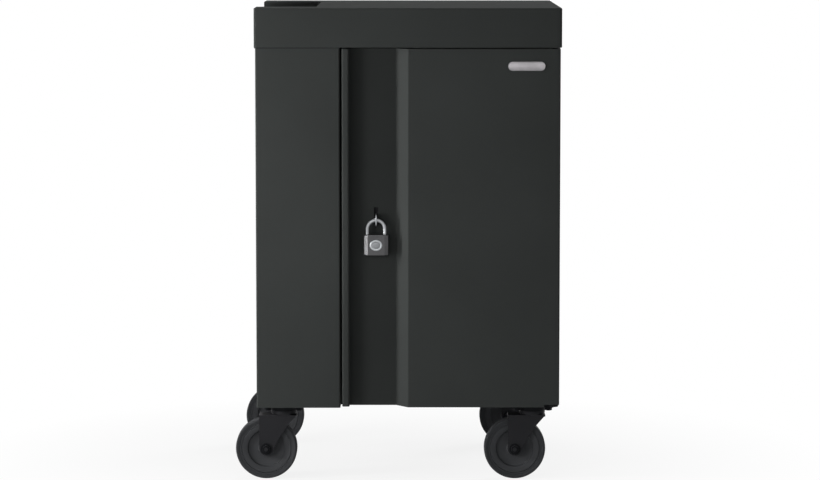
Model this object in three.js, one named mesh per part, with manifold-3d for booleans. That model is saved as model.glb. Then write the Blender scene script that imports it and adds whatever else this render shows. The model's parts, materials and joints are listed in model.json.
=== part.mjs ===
import * as THREE from "three";
import { mergeVertices } from "three/addons/utils/BufferGeometryUtils.js";
import Module from "manifold-3d";

// A steel charging cart for laptops on four swivel casters. Millimetres, +Z up, front towards -Y.

// Sheet metal
const SHEET = 1.5;
const BEND = 2;
const FIT = 0.3;

// Facets round a pin, a caster race, a wheel core and a tyre
const PIN_FACETS = 12;
const RACE_FACETS = 12;
const CORE_FACETS = 16;
const TYRE_FACETS = 28;

// Top cap
const CAP_WIDTH = 626;
const CAP_DEPTH = 570;
const CAP_HEIGHT = 80;
const CAP_WALL = 2;
const CAP_CORNER = 5;
const CAP_EDGE = 2.2;
const CAP_OVERHANG = 2.5;
const CAP_TUCK = 40;
const WELL_WIDTH = 125;
const WELL_DEPTH = 12;
const WELL_RIM = 95;
const WELL_CORNER = 12;
const GRIP_BAR = 26;
const GRIP_SLOT_WIDTH = 36;
const GRIP_SLOT_LENGTH = 300;
const GRIP_RETURN = 14;
const GRIP_ROUND = 8;

// Cabinet
const BODY_HEIGHT = 739;
const PANEL_WIDTH = 172;
const SEAM = 3.6;
const SIDE_RETURN = 22;
const POST_FLANGE = 45;
const PAN_FLANGE = 20;
const DECK_RISE = 10;
const HEADER_DROP = 35;
const REAR_BAY = 125;
const SHELF_LIP = 20;
const SILL_HEIGHT = 94;
const CABLE_WAY_LENGTH = 390;
const CABLE_WAY_WIDTH = 30;
const CABLE_WAY_RISE = 215;

// Slot racks
const SLOTS = 10;
const RACK_SIDE = 14.3;
const FIN_SHEET = 3;
const FIN_HEIGHT = 140;
const RACK_CLEAR = 11.5;
const RACK_FLOOR = 4;

// Front door
const DOOR_GAP = 3;
const DOOR_LIFT = 1;
const PAN_DEPTH = 22;
const SWING_GAP = 5.5;
const DOOR_HEM = 14;
const PULL_WIDTH = 15;
const PULL_RETURN = 25;
const PULL_TRIM = 1.5;
const CHANNEL_WIDTH = 95.4;
const CHANNEL_DEPTH = 32;
const CHANNEL_SLOPE = 24.7;
const STIFFENER_WIDTH = 60;
const STIFFENER_FOOT = 16;

// Door pivots
const PIN_RADIUS = 4;
const PIN_COLLAR = 7;
const BRACKET_SHEET = 3;
const BRACKET_WIDTH = 18;
const PIN_REACH = 10;

// Lock bar behind the channel: its level, half length and guides as shares of the body's height
const LOCK_LEVEL = 0.521;
const BAR_SHARE = 0.352;
const GUIDE_SHARE = 0.19;
const LOCK_OFFSET = 7;
const LOCK_LIFT = 12;
const TAB_SHEET = 3;
const TAB_HEIGHT = 24;
const TAB_REACH = 25;
const TAB_HOLE = 5.2;
const TAB_SLOT = 9;
const BAR_WIDTH = 24;
const BAR_SHEET = 3;
const BAR_BACK = 5;
const BAR_EAR = 5;
const HOOK_ARM = 18;
const HOOK_FINGER = 8;
const HOOK_REACH = 36;
const GUIDE_HEIGHT = 20;
const GUIDE_WALL = 10;
const KEEPER_ROOM = 6;
const KEEPER_FOOT = 24;

// Padlock
const SHACKLE_RADIUS = 3.6;
const SHACKLE_SPAN = 36;
const LOCK_WIDTH = 50;
const LOCK_TALL = 43;
const LOCK_THICK = 22;
const LOCK_CLEAR = 29;
const LOCK_DROP = 12;
const LOCK_CHAMFER = 8;
const LOCK_EDGE = 1.5;
const HEEL_SPARE = 14;
const MEDALLION_WIDE = 25.6;
const MEDALLION_TALL = 22.4;
const MEDALLION_RIM = 3;
const PLUG_RADIUS = 6;

// Rear lock, power inlet and switch
const CAM_BARREL = 9.5;
const CAM_LENGTH = 27;
const CAM_GAP = 4;
const CAM_WIDTH = 15;
const VENT_LENGTH = 150;
const VENT_WIDTH = 6;
const VENT_INSET = 60;
const VENT_ROWS = 4;
const VENT_COLUMNS = 2;
const INLET_WIDTH = 48;
const INLET_TALL = 26;
const INLET_FLANGE = 5;
const INLET_FLOOR = 6;
const ROCKER_LENGTH = 22;
const ROCKER_TILT = 8;
const ROCKER_THICK = 3;
const ROCKER_SINK = 1.3;
const BEZEL_RIM = 3;
const STRIP_TALL = 46;
const STRIP_DEEP = 36;
const STRIP_DROP = 74;
const OUTLET_WIDTH = 28;
const OUTLET_TALL = 30;
const TRAY_DEEP = 104;
const TRAY_LIP = 32;
const TRAY_RISE = 110;
const MODULE_FOOT = 10;
const MODULE_VENT = 4;

// Casters
const CASTER_HEIGHT = 156;
const CASTER_X = 257;
const CASTER_INSET = 68;
const WHEEL_RADIUS = 63.5;
const WHEEL_WIDTH = 32;
const TYRE_DEEP = 13;
const RIM_CROWN = 2;
const TRAIL = 36;
const PLATE_LENGTH = 88;
const PLATE_WIDTH = 74;
const PLATE_SHEET = 4;
const FORK_SHEET = 3;
const FORK_ROOM = 4;
const FORK_WAIST = 10;
const AXLE_RADIUS = 6;
const AXLE_EYE = 14.5;
const WASHER = 1.5;
const AXLE_HEAD = 5;
const HUB_STEP = 0.77;
const KINGPIN_HEAD = 10;
const RACE_RADIUS = 27;
const RACE_HEIGHT = 8;

const wasm = await Module();
wasm.setup();

// Planes shared by the pieces
const half = CAP_WIDTH / 2 - CAP_OVERHANG;
const front = -(CAP_DEPTH / 2 - CAP_OVERHANG);
const rear = -front;
const bottom = CASTER_HEIGHT;
const skirt = bottom + BODY_HEIGHT;
const top = skirt + CAP_HEIGHT;
const sideTop = skirt + CAP_TUCK;
const doorBack = front + PAN_DEPTH;
const jamb = doorBack + SWING_GAP;
const rearJamb = -jamb;
const channelFace = front + CHANNEL_DEPTH;
const channelBack = channelFace + SHEET;
const seamLeft = -half + PANEL_WIDTH;
const doorLeft = seamLeft + SEAM;
const channelLeft = doorLeft + PULL_WIDTH;
const slopeLeft = channelLeft + CHANNEL_WIDTH;
const slopeRight = slopeLeft + CHANNEL_SLOPE;
const doorBottom = bottom + DOOR_LIFT;
const doorTop = skirt - DOOR_GAP;
const pivotX = half - PAN_DEPTH / 2;
const pivotY = front + PAN_DEPTH / 2;
const barFront = channelBack + BAR_BACK;
const barBack = barFront + BAR_SHEET;
const postFace = barBack + KEEPER_ROOM;
const postBack = postFace + SHEET;
const postRight = seamLeft + POST_FLANGE;
const cornerFit = FIT + 0.3 * BEND;
const panInset = SHEET + cornerFit;
const deckBottom = skirt + DECK_RISE;
const floorTop = bottom + SHEET;
const bayLeft = seamLeft + cornerFit;
const bayRight = half - SHEET;
const bayMiddle = (bayLeft + bayRight) / 2;
const slotPitch = (bayRight - bayLeft - FIN_SHEET - 2 * RACK_SIDE) / SLOTS;
const bulkFront = rearJamb - REAR_BAY;
const bulkBack = bulkFront + SHEET;
const tier = (deckBottom - floorTop) / 2;
const shelfTop = floorTop + tier;
const shelfFront = postBack + 2 * SHEET + BEND + FIT;
const sillTop = bottom + SILL_HEIGHT;
const lockX = (channelLeft + slopeLeft) / 2 + LOCK_OFFSET;
const lockZ = bottom + BODY_HEIGHT * LOCK_LEVEL;
const barHalf = BODY_HEIGHT * BAR_SHARE;
const guideOffset = BODY_HEIGHT * GUIDE_SHARE;
const lockY = channelFace - TAB_REACH / 2 - 2;

// Solids from three.js shapes
function solidOf(geometry) {
  const flat = geometry.index ? geometry.toNonIndexed() : geometry;
  const bare = new THREE.BufferGeometry();
  bare.setAttribute("position", flat.getAttribute("position"));
  const merged = mergeVertices(bare, 1e-4);
  const corners = merged.index.array;
  const kept = [];
  for (let i = 0; i < corners.length; i += 3) {
    const [a, b, c] = corners.slice(i, i + 3);
    if (a !== b && b !== c && c !== a) kept.push(a, b, c);
  }
  const mesh = new wasm.Mesh({
    numProp: 3,
    vertProperties: merged.getAttribute("position").array,
    triVerts: new Uint32Array(kept),
  });
  return new wasm.Manifold(mesh);
}

function block(x0, x1, y0, y1, z0, z1) {
  const geometry = new THREE.BoxGeometry(x1 - x0, y1 - y0, z1 - z0);
  geometry.translate((x0 + x1) / 2, (y0 + y1) / 2, (z0 + z1) / 2);
  return solidOf(geometry);
}

function extruded(shape, depth, steps) {
  return new THREE.ExtrudeGeometry(shape, { depth, bevelEnabled: false, curveSegments: steps });
}

// A shape drawn in x and y, standing from z0 to z1.
function prismZ(shape, z0, z1, steps = 2) {
  return solidOf(extruded(shape, z1 - z0, steps).translate(0, 0, z0));
}

// A shape drawn in x and z, reaching from y0 to y1.
function prismY(shape, y0, y1, steps = 2) {
  return solidOf(extruded(shape, y1 - y0, steps).rotateX(Math.PI / 2).translate(0, y1, 0));
}

// A shape drawn in y and z, reaching from x0 to x1.
function prismX(shape, x0, x1, steps = 2) {
  const turn = new THREE.Matrix4().makeBasis(
    new THREE.Vector3(0, 1, 0),
    new THREE.Vector3(0, 0, 1),
    new THREE.Vector3(1, 0, 0),
  );
  return solidOf(extruded(shape, x1 - x0, steps).applyMatrix4(turn).translate(x0, 0, 0));
}

// A profile of [radius, height] pairs turned about Z, from the lower end on the axis to the upper end.
function turnedZ(profile, segments) {
  const points = profile.map(([r, h]) => new THREE.Vector2(r, h));
  return solidOf(new THREE.LatheGeometry(points, segments).rotateX(Math.PI / 2));
}

// The same about Y.
function turnedY(profile, segments) {
  const points = profile.map(([r, h]) => new THREE.Vector2(r, h));
  return solidOf(new THREE.LatheGeometry(points, segments));
}

function rodZ(radius, x, y, z0, z1, segments = PIN_FACETS) {
  const profile = [[0, z0], [radius, z0], [radius, z1], [0, z1]];
  return turnedZ(profile, segments).translate([x, y, 0]);
}

function rodY(radius, x, z, y0, y1, segments = PIN_FACETS) {
  const profile = [[0, y0], [radius, y0], [radius, y1], [0, y1]];
  return turnedY(profile, segments).translate([x, 0, z]);
}

function polygon(points) {
  return new THREE.Shape(points.map(([x, y]) => new THREE.Vector2(x, y)));
}

function roundedRectangle(x0, x1, y0, y1, radius) {
  const shape = new THREE.Shape();
  shape.moveTo(x0 + radius, y0);
  shape.lineTo(x1 - radius, y0);
  shape.absarc(x1 - radius, y0 + radius, radius, -Math.PI / 2, 0, false);
  shape.absarc(x1 - radius, y1 - radius, radius, 0, Math.PI / 2, false);
  shape.absarc(x0 + radius, y1 - radius, radius, Math.PI / 2, Math.PI, false);
  shape.absarc(x0 + radius, y0 + radius, radius, Math.PI, 1.5 * Math.PI, false);
  return shape;
}

function slotShape(x, y, length, width) {
  return roundedRectangle(x - length / 2, x + length / 2, y - width / 2, y + width / 2, width / 2 - 0.01);
}

// A rectangle about a middle.
function rectangle(x, y, length, width) {
  const a = length / 2;
  const b = width / 2;
  return polygon([[x - a, y - b], [x + a, y - b], [x + a, y + b], [x - a, y + b]]);
}

// The section of a bent sheet: the path runs along one face and the sheet lies to its left.
function bentSheet(path, thickness = SHEET, bend = BEND) {
  const points = path.map(([x, y]) => new THREE.Vector2(x, y));
  const ways = points.slice(1).map((point, i) => point.clone().sub(points[i]).normalize());
  const lefts = ways.map((way) => new THREE.Vector2(-way.y, way.x));
  const bends = ways.slice(1).map((way, i) => {
    const toLeft = ways[i].cross(way) > 0;
    const offset = toLeft ? thickness + bend : -bend;
    const reach = lefts[i].clone().add(lefts[i + 1]);
    const centre = reach.multiplyScalar(offset / (1 + ways[i].dot(way))).add(points[i + 1]);
    return { toLeft, offset, centre, before: lefts[i], after: lefts[i + 1] };
  });
  const shape = new THREE.Shape();
  const arc = (turn, depth, from, to, clockwise) => {
    const out = turn.offset - depth;
    const start = from.clone().multiplyScalar(-out);
    const end = to.clone().multiplyScalar(-out);
    const first = turn.centre.clone().add(start);
    if (shape.curves.length === 0) shape.lineTo(first.x, first.y);
    shape.absarc(turn.centre.x, turn.centre.y, Math.abs(out), start.angle(), end.angle(), clockwise);
  };
  shape.moveTo(points[0].x, points[0].y);
  bends.forEach((turn) => arc(turn, 0, turn.before, turn.after, !turn.toLeft));
  const last = points.length - 1;
  const endLeft = lefts[last - 1].clone().multiplyScalar(thickness);
  shape.lineTo(points[last].x, points[last].y);
  shape.lineTo(points[last].x + endLeft.x, points[last].y + endLeft.y);
  bends.toReversed().forEach((turn) => arc(turn, thickness, turn.after, turn.before, turn.toLeft));
  const startLeft = lefts[0].clone().multiplyScalar(thickness);
  shape.lineTo(points[0].x + startLeft.x, points[0].y + startLeft.y);
  return shape;
}

function joined(...solids) {
  return solids.reduce((all, next) => all.add(next));
}

function cutBy(solid, ...tools) {
  return tools.reduce((left, tool) => left.subtract(tool), solid);
}

// Finishes
const charcoal = { color: 0x383a38, roughness: 0.55, metalness: 0.1 };
const innerPaint = { color: 0x303231, roughness: 0.6, metalness: 0.1 };
const zinc = { color: 0x9a9da0, roughness: 0.35, metalness: 0.9 };
const blackCoat = { color: 0x262628, roughness: 0.5, metalness: 0.2 };
const bearingSteel = { color: 0x17181a, roughness: 0.4, metalness: 0.6 };
const rubber = { color: 0x38393c, roughness: 0.8, metalness: 0 };
const wheelPlastic = { color: 0x3a3b3e, roughness: 0.6, metalness: 0 };
const blackPlastic = { color: 0x1d1e20, roughness: 0.55, metalness: 0 };
const chrome = { color: 0xb8bcc0, roughness: 0.15, metalness: 1 };
const lockSteel = { color: 0x5a5c5e, roughness: 0.4, metalness: 0.8 };
const brass = { color: 0xa08848, roughness: 0.3, metalness: 1 };

function addPiece(parent, name, solid, finish) {
  const { vertProperties, triVerts } = solid.getMesh();
  const geometry = new THREE.BufferGeometry();
  geometry.setAttribute("position", new THREE.BufferAttribute(vertProperties, 3));
  geometry.setIndex(new THREE.BufferAttribute(triVerts, 1));
  geometry.computeVertexNormals();
  const mesh = new THREE.Mesh(geometry, new THREE.MeshStandardMaterial(finish));
  mesh.name = name;
  parent.add(mesh);
  return mesh;
}

function addGroup(parent, x = 0, y = 0, z = 0) {
  const group = new THREE.Group();
  group.position.set(x, y, z);
  parent.add(group);
  return group;
}

const cart = new THREE.Group();
cart.name = "charging_cart";

// Top cap: a hollow cap with a well and a grip slot at its left end and a ledge over the door's channel
function topCap() {
  const x = CAP_WIDTH / 2;
  const y = CAP_DEPTH / 2;
  const plan = roundedRectangle(-x, x, -y, y, CAP_CORNER);
  const rounded = solidOf(
    new THREE.ExtrudeGeometry(plan, {
      depth: CAP_HEIGHT,
      bevelEnabled: true,
      bevelThickness: CAP_EDGE,
      bevelSize: CAP_EDGE,
      bevelOffset: -CAP_EDGE,
      bevelSegments: 2,
      curveSegments: 2,
    }).translate(0, 0, skirt - CAP_EDGE),
  );
  const outside = rounded.subtract(block(-2 * x, 2 * x, -2 * y, 2 * y, skirt - 3 * CAP_EDGE, skirt));
  const inX = x - CAP_WALL;
  const inY = y - CAP_WALL;
  const inside = block(-inX, inX, -inY, inY, skirt - 1, top - CAP_WALL);
  const wellRight = -x + WELL_WIDTH;
  const wellFront = y - WELL_RIM;
  const wellFloor = top - WELL_DEPTH;
  const rollX = -x + GRIP_ROUND;
  const rollZ = wellFloor - GRIP_ROUND;
  const well = (grow) => {
    const reach = wellFront + grow;
    const roll = rodY(GRIP_ROUND - grow, rollX, rollZ, -reach - 1, reach + 1, RACE_FACETS);
    const corner = block(-2 * x, rollX, -reach, reach, rollZ, wellFloor).subtract(roll);
    const outline = roundedRectangle(-2 * x, wellRight + grow, -reach, reach, WELL_CORNER + grow);
    return prismZ(outline, wellFloor - grow, top + WELL_DEPTH).add(corner);
  };
  const slotX = -x + GRIP_BAR + GRIP_SLOT_WIDTH / 2;
  const slot = (grow, z0, z1) =>
    prismZ(
      roundedRectangle(
        slotX - GRIP_SLOT_WIDTH / 2 - grow,
        slotX + GRIP_SLOT_WIDTH / 2 + grow,
        -GRIP_SLOT_LENGTH / 2 - grow,
        GRIP_SLOT_LENGTH / 2 + grow,
        GRIP_SLOT_WIDTH / 2 + grow - 0.01,
      ),
      z0,
      z1,
    );
  const shell = outside.subtract(well(0)).subtract(inside.subtract(well(CAP_WALL)));
  const collar = slot(CAP_WALL, wellFloor - GRIP_RETURN, wellFloor - CAP_WALL / 2);
  const ledgeLeft = seamLeft + cornerFit;
  const ledgeBack = postFace - cornerFit;
  const ledge = block(ledgeLeft, slopeRight + SEAM, -inY - 1, ledgeBack, skirt, skirt + CAP_WALL);
  return joined(shell, collar, ledge).subtract(slot(0, wellFloor - GRIP_RETURN - 1, wellFloor + 1));
}
addPiece(cart, "top_cap", topCap(), charcoal);

// Left shell: side, fixed front panel and the post beside the door, folded from one sheet
const leftShellPath = [
  [-half + SIDE_RETURN, rearJamb],
  [-half, rearJamb],
  [-half, front],
  [seamLeft, front],
  [seamLeft, postFace],
  [postRight, postFace],
];
addPiece(cart, "left_shell", prismZ(bentSheet(leftShellPath), bottom, sideTop), charcoal);

// Right side panel with a return at the front and at the rear
const rightSidePath = [
  [half - SIDE_RETURN, jamb],
  [half, jamb],
  [half, rearJamb],
  [half - SIDE_RETURN, rearJamb],
];
addPiece(cart, "right_side_panel", prismZ(bentSheet(rightSidePath), bottom, sideTop), charcoal);

// Base pan and inner deck: pans that fit inside the shell and step round the post
function panPlan(inset) {
  const edge = half - panInset - inset;
  const back = rearJamb - panInset - inset;
  const panelFront = front + panInset + inset;
  const panelRight = seamLeft - panInset - inset;
  const postRear = postBack + FIT + inset;
  const postEnd = slopeRight + SEAM + inset;
  const doorway = jamb + panInset + inset;
  return polygon([
    [-edge, back],
    [-edge, panelFront],
    [panelRight, panelFront],
    [panelRight, postRear],
    [postEnd, postRear],
    [postEnd, doorway],
    [edge, doorway],
    [edge, back],
  ]);
}

function pan(z) {
  const outside = prismZ(panPlan(0), z, z + PAN_FLANGE);
  return outside.subtract(prismZ(panPlan(SHEET), z + SHEET, z + PAN_FLANGE + 1));
}
addPiece(cart, "base_pan", pan(bottom), innerPaint);

const headerFront = jamb + panInset;
const header = block(
  slopeRight + SEAM,
  half - panInset,
  headerFront,
  headerFront + SHEET,
  deckBottom - HEADER_DROP,
  deckBottom + SHEET,
);
addPiece(cart, "inner_deck", pan(deckBottom).add(header), innerPaint);

// Bay partition behind the post
const partitionFront = postBack + SHEET + FIT + SHEET + FIT;
const partitionRear = bulkFront - SHEET - FIT;
const partitionPath = [
  [seamLeft + SIDE_RETURN, partitionFront],
  [seamLeft, partitionFront],
  [seamLeft, partitionRear],
  [seamLeft + SIDE_RETURN, partitionRear],
];
addPiece(
  cart,
  "bay_partition",
  prismZ(bentSheet(partitionPath), floorTop + FIT, deckBottom - FIT),
  innerPaint,
);

// Bulkhead between the slots and the rear bay, with a long cable way in each tier
const bulkRight = bayRight - panInset - FIT;
const bulkheadPath = [
  [bulkRight, bulkBack + SIDE_RETURN],
  [bulkRight, bulkBack],
  [seamLeft - SHEET, bulkBack],
];
let bulkhead = prismZ(
  bentSheet(bulkheadPath.map(([x, y]) => [x - SHEET, y])),
  floorTop + FIT,
  deckBottom - FIT,
);
for (const level of [floorTop, shelfTop]) {
  const way = slotShape(bayMiddle, level + CABLE_WAY_RISE, CABLE_WAY_LENGTH, CABLE_WAY_WIDTH);
  bulkhead = bulkhead.subtract(prismY(way, bulkFront - 1, bulkBack + 1));
}
addPiece(cart, "bulkhead", bulkhead, innerPaint);

// Middle shelf with a lip down at the front and up at the bulkhead
const shelfRear = partitionRear - SHEET - cornerFit;
const shelfPath = [
  [shelfRear, shelfTop + SHELF_LIP],
  [shelfRear, shelfTop],
  [shelfFront, shelfTop],
  [shelfFront, shelfTop - SHELF_LIP],
];
const shelf = prismX(bentSheet(shelfPath), bayLeft, bayRight - FIT);
addPiece(cart, "middle_shelf", shelf, innerPaint);

// Slot racks: one moulding each, a floor with upright fins
const rackFront = shelfFront + BEND + SHEET;
const rackDepth = shelfRear - RACK_CLEAR - rackFront;
function slotRack() {
  const span = SLOTS * slotPitch + FIN_SHEET;
  const fin = new THREE.Shape();
  const noseRadius = FIN_HEIGHT * 0.5;
  const tailCut = FIN_HEIGHT * 0.12;
  fin.moveTo(0, 0);
  fin.lineTo(0, FIN_HEIGHT - noseRadius);
  fin.absarc(noseRadius, FIN_HEIGHT - noseRadius, noseRadius, Math.PI, Math.PI / 2, true);
  fin.lineTo(rackDepth - tailCut, FIN_HEIGHT);
  fin.lineTo(rackDepth, FIN_HEIGHT - tailCut);
  fin.lineTo(rackDepth, 0);
  let rack = block(-span / 2, span / 2, 0, rackDepth, 0, RACK_FLOOR);
  for (let i = 0; i <= SLOTS; i += 1) {
    const x = -span / 2 + i * slotPitch;
    rack = rack.add(prismX(fin, x, x + FIN_SHEET));
  }
  return rack;
}
const lowerBay = addGroup(cart, bayMiddle, rackFront, floorTop + FIT);
addPiece(lowerBay, "lower_slot_rack", slotRack(), blackPlastic);
const upperBay = addGroup(cart, bayMiddle, rackFront, shelfTop + FIT);
addPiece(upperBay, "upper_slot_rack", slotRack(), blackPlastic);

// Front door: pull strip, channel, slope and face folded from one sheet, closed at top and bottom
const doorPath = [
  [doorLeft, front + PULL_RETURN],
  [doorLeft, front],
  [channelLeft, front],
  [channelLeft, channelFace],
  [slopeLeft, channelFace],
  [slopeRight, front],
  [half, front],
  [half, doorBack],
  [half - DOOR_HEM, doorBack],
];
const slopeRun = CHANNEL_SLOPE / CHANNEL_DEPTH;
const endPlate = polygon([
  [slopeRight + SHEET, front + SHEET / 2],
  [half - SHEET / 2, front + SHEET / 2],
  [half - SHEET / 2, doorBack - SHEET / 2],
  [slopeRight + SHEET - (PAN_DEPTH - SHEET) * slopeRun, doorBack - SHEET / 2],
]);
const bracketLow = doorBottom + FIT;
const relief = bracketLow + BRACKET_SHEET + FIT + SHEET;
const reliefReach = Math.hypot(BRACKET_WIDTH / 2, PAN_DEPTH / 2 + SWING_GAP) + 1;
const plateLow = relief + FIT;
const slotTall = TAB_HEIGHT + LOCK_LIFT + 3;
const tabSlot = roundedRectangle(
  lockX - TAB_SLOT / 2,
  lockX + TAB_SLOT / 2,
  lockZ - TAB_HEIGHT / 2 - 1.5,
  lockZ - TAB_HEIGHT / 2 - 1.5 + slotTall,
  2,
);
const frontDoor = cutBy(
  joined(
    prismZ(bentSheet(doorPath), doorBottom, doorTop),
    prismZ(endPlate, plateLow, plateLow + SHEET),
    prismZ(endPlate, doorTop - SHEET, doorTop),
  ),
  block(pivotX - reliefReach, half + 1, front - 1, doorBack + 1, doorBottom - 1, relief),
  block(doorLeft - 1, channelLeft + FIT, front - 1, channelFace - FIT, 0, doorBottom + PULL_TRIM),
  rodZ(PIN_RADIUS + FIT, pivotX, pivotY, doorBottom, doorTop + 1),
  prismY(tabSlot, channelFace - 1, channelBack + 1),
);
addPiece(cart, "front_door", frontDoor, charcoal);

const stiffenerX = (slopeRight + half) / 2;
const hatFoot = front + SHEET + FIT;
const hatTop = doorBack - SHEET;
const hat = STIFFENER_WIDTH / 2;
const stiffenerPath = [
  [stiffenerX + hat + STIFFENER_FOOT, hatFoot + SHEET],
  [stiffenerX + hat, hatFoot + SHEET],
  [stiffenerX + hat - SHEET, hatTop],
  [stiffenerX - hat + SHEET, hatTop],
  [stiffenerX - hat, hatFoot + SHEET],
  [stiffenerX - hat - STIFFENER_FOOT, hatFoot + SHEET],
];
addPiece(
  cart,
  "door_stiffener",
  prismZ(bentSheet(stiffenerPath), plateLow + 2 * SHEET, doorTop - 2 * SHEET),
  innerPaint,
);

// Door pivots: a bracket on the jamb and a collared pin, above and below the door
function pivotBracket(x, y, jambY, z) {
  const r = BRACKET_WIDTH / 2;
  const side = Math.sign(jambY - y);
  const plan = new THREE.Shape();
  const wall = jambY - side * FIT;
  plan.moveTo(x - side * r, wall);
  plan.lineTo(x - side * r, y);
  plan.absarc(x, y, r, side > 0 ? Math.PI : 0, side > 0 ? 2 * Math.PI : Math.PI, false);
  plan.lineTo(x + side * r, wall);
  const hole = rodZ(PIN_RADIUS + FIT, x, y, z - 1, z + BRACKET_SHEET + 1);
  return prismZ(plan, z, z + BRACKET_SHEET, 4).subtract(hole);
}

function collaredPin(x, y, z0, collarLow, collarHigh, z1) {
  const profile = [
    [0, z0],
    [PIN_RADIUS, z0],
    [PIN_RADIUS, collarLow],
    [PIN_COLLAR, collarLow],
    [PIN_COLLAR, collarHigh],
    [PIN_RADIUS, collarHigh],
    [PIN_RADIUS, z1],
    [0, z1],
  ];
  return turnedZ(profile, PIN_FACETS).translate([x, y, 0]);
}
const bracketHigh = doorTop + FIT + SHEET + FIT;
const pinHigh = bracketHigh + BRACKET_SHEET;
const lowerCollar = bracketLow + BRACKET_SHEET + FIT;
addPiece(cart, "door_bracket_lower", pivotBracket(pivotX, pivotY, jamb, bracketLow), blackCoat);
addPiece(
  cart,
  "door_pin_lower",
  collaredPin(pivotX, pivotY, bracketLow, lowerCollar, plateLow - FIT, plateLow + PIN_REACH),
  bearingSteel,
);
addPiece(cart, "door_bracket_upper", pivotBracket(pivotX, pivotY, jamb, bracketHigh), blackCoat);
addPiece(
  cart,
  "door_pin_upper",
  collaredPin(pivotX, pivotY, doorTop - PIN_REACH, doorTop + FIT, bracketHigh - FIT, pinHigh),
  bearingSteel,
);

// Lock bar: a flat bar with two hooks and stop ears
const hookOffset = barHalf - 3 * HOOK_ARM;
function lockBar() {
  const side = BAR_WIDTH / 2;
  const earLow = lockZ - guideOffset + GUIDE_HEIGHT / 2 + FIT;
  const hookLeft = lockX - side - HOOK_REACH;
  let bar = prismY(
    roundedRectangle(lockX - side, lockX + side, lockZ - barHalf, lockZ + barHalf, BAR_SHEET),
    barFront,
    barBack,
  );
  const earSide = side + BAR_EAR;
  const ears = roundedRectangle(lockX - earSide, lockX + earSide, earLow, earLow + 2 * BAR_EAR, SHEET);
  bar = bar.add(prismY(ears, barFront, barBack));
  for (const end of [-1, 1]) {
    const armLow = lockZ + end * hookOffset - HOOK_ARM / 2;
    const hook = polygon([
      [lockX, armLow],
      [lockX, armLow + HOOK_ARM],
      [hookLeft + HOOK_FINGER, armLow + HOOK_ARM],
      [hookLeft + HOOK_FINGER, armLow + HOOK_ARM + LOCK_LIFT],
      [hookLeft, armLow + HOOK_ARM + LOCK_LIFT],
      [hookLeft, armLow],
    ]);
    bar = bar.add(prismY(hook, barFront, barBack));
  }
  return bar;
}
addPiece(cart, "lock_bar", lockBar(), blackCoat);

// Padlock tab: a plate welded on edge to the bar, out through the slot in the channel
function lockTab() {
  const low = lockZ - TAB_HEIGHT / 2;
  const high = lockZ + TAB_HEIGHT / 2;
  const tip = channelFace - TAB_REACH;
  const round = TAB_HEIGHT / 3;
  const tab = new THREE.Shape();
  tab.moveTo(barFront - FIT, low);
  tab.lineTo(barFront - FIT, high);
  tab.lineTo(tip + round, high);
  tab.absarc(tip + round, high - round, round, Math.PI / 2, Math.PI, false);
  tab.absarc(tip + round, low + round, round, Math.PI, 1.5 * Math.PI, false);
  const hole = new THREE.Path();
  const holeZ = lockZ + TAB_HOLE - SHACKLE_RADIUS - 2 * FIT;
  hole.absarc(lockY, holeZ, TAB_HOLE, 0, 2 * Math.PI, true);
  tab.holes.push(hole);
  return prismX(tab, lockX - TAB_SHEET / 2, lockX + TAB_SHEET / 2, 5);
}
addPiece(cart, "lock_tab", lockTab(), zinc);

// Guides on the door hold the bar, keepers on the post catch its hooks when it is lifted
function barGuide() {
  const side = BAR_WIDTH / 2 + 2 * FIT;
  const outside = side + GUIDE_WALL;
  const back = barBack + 2 * FIT + 0.4 * GUIDE_WALL;
  const outline = roundedRectangle(-outside, outside, channelBack + FIT, back, SHEET);
  const way = block(-side, side, barFront - FIT, barBack + FIT, -GUIDE_HEIGHT, GUIDE_HEIGHT);
  return prismZ(outline, -GUIDE_HEIGHT / 2, GUIDE_HEIGHT / 2).subtract(way);
}
const lowerGuide = addGroup(cart, lockX, 0, lockZ - guideOffset);
addPiece(lowerGuide, "bar_guide_lower", barGuide(), blackPlastic);
const upperGuide = addGroup(cart, lockX, 0, lockZ + guideOffset);
addPiece(upperGuide, "bar_guide_upper", barGuide(), blackPlastic);

// A keeper: a plate on the post, a shelf forward and a lip down in front of the hook finger.
function keeper() {
  const lipFront = barFront - SHEET - 2;
  const fingerTop = HOOK_ARM / 2 + LOCK_LIFT;
  const shelfHigh = fingerTop + LOCK_LIFT + 3 * SHEET;
  const footFace = postFace - FIT - SHEET;
  const path = [
    [footFace, shelfHigh + KEEPER_FOOT],
    [footFace, shelfHigh],
    [lipFront, shelfHigh],
    [lipFront, fingerTop + 2],
  ];
  const middle = lockX - BAR_WIDTH / 2 - HOOK_REACH + HOOK_FINGER / 2;
  return prismX(bentSheet(path, SHEET, 1), middle - HOOK_FINGER, middle + HOOK_FINGER);
}
const lowerKeeper = addGroup(cart, 0, 0, lockZ - hookOffset);
addPiece(lowerKeeper, "keeper_lower", keeper(), zinc);
const upperKeeper = addGroup(cart, 0, 0, lockZ + hookOffset);
addPiece(upperKeeper, "keeper_upper", keeper(), zinc);

// Padlock hanging from the tab, drawn about the middle of the shackle's bow
class ShackleLine extends THREE.Curve {
  constructor(radius, leftLeg, rightLeg) {
    super();
    this.radius = radius;
    this.leftLeg = leftLeg;
    this.rightLeg = rightLeg;
  }

  getPoint(t, target = new THREE.Vector3()) {
    const bow = Math.PI * this.radius;
    const run = t * (this.leftLeg + bow + this.rightLeg);
    if (run < this.leftLeg) return target.set(-this.radius, 0, run - this.leftLeg - this.radius);
    if (run > this.leftLeg + bow) return target.set(this.radius, 0, this.leftLeg + bow - run - this.radius);
    const angle = Math.PI - (run - this.leftLeg) / this.radius;
    return target.set(this.radius * Math.cos(angle), 0, this.radius * (Math.sin(angle) - 1));
  }
}

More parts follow.
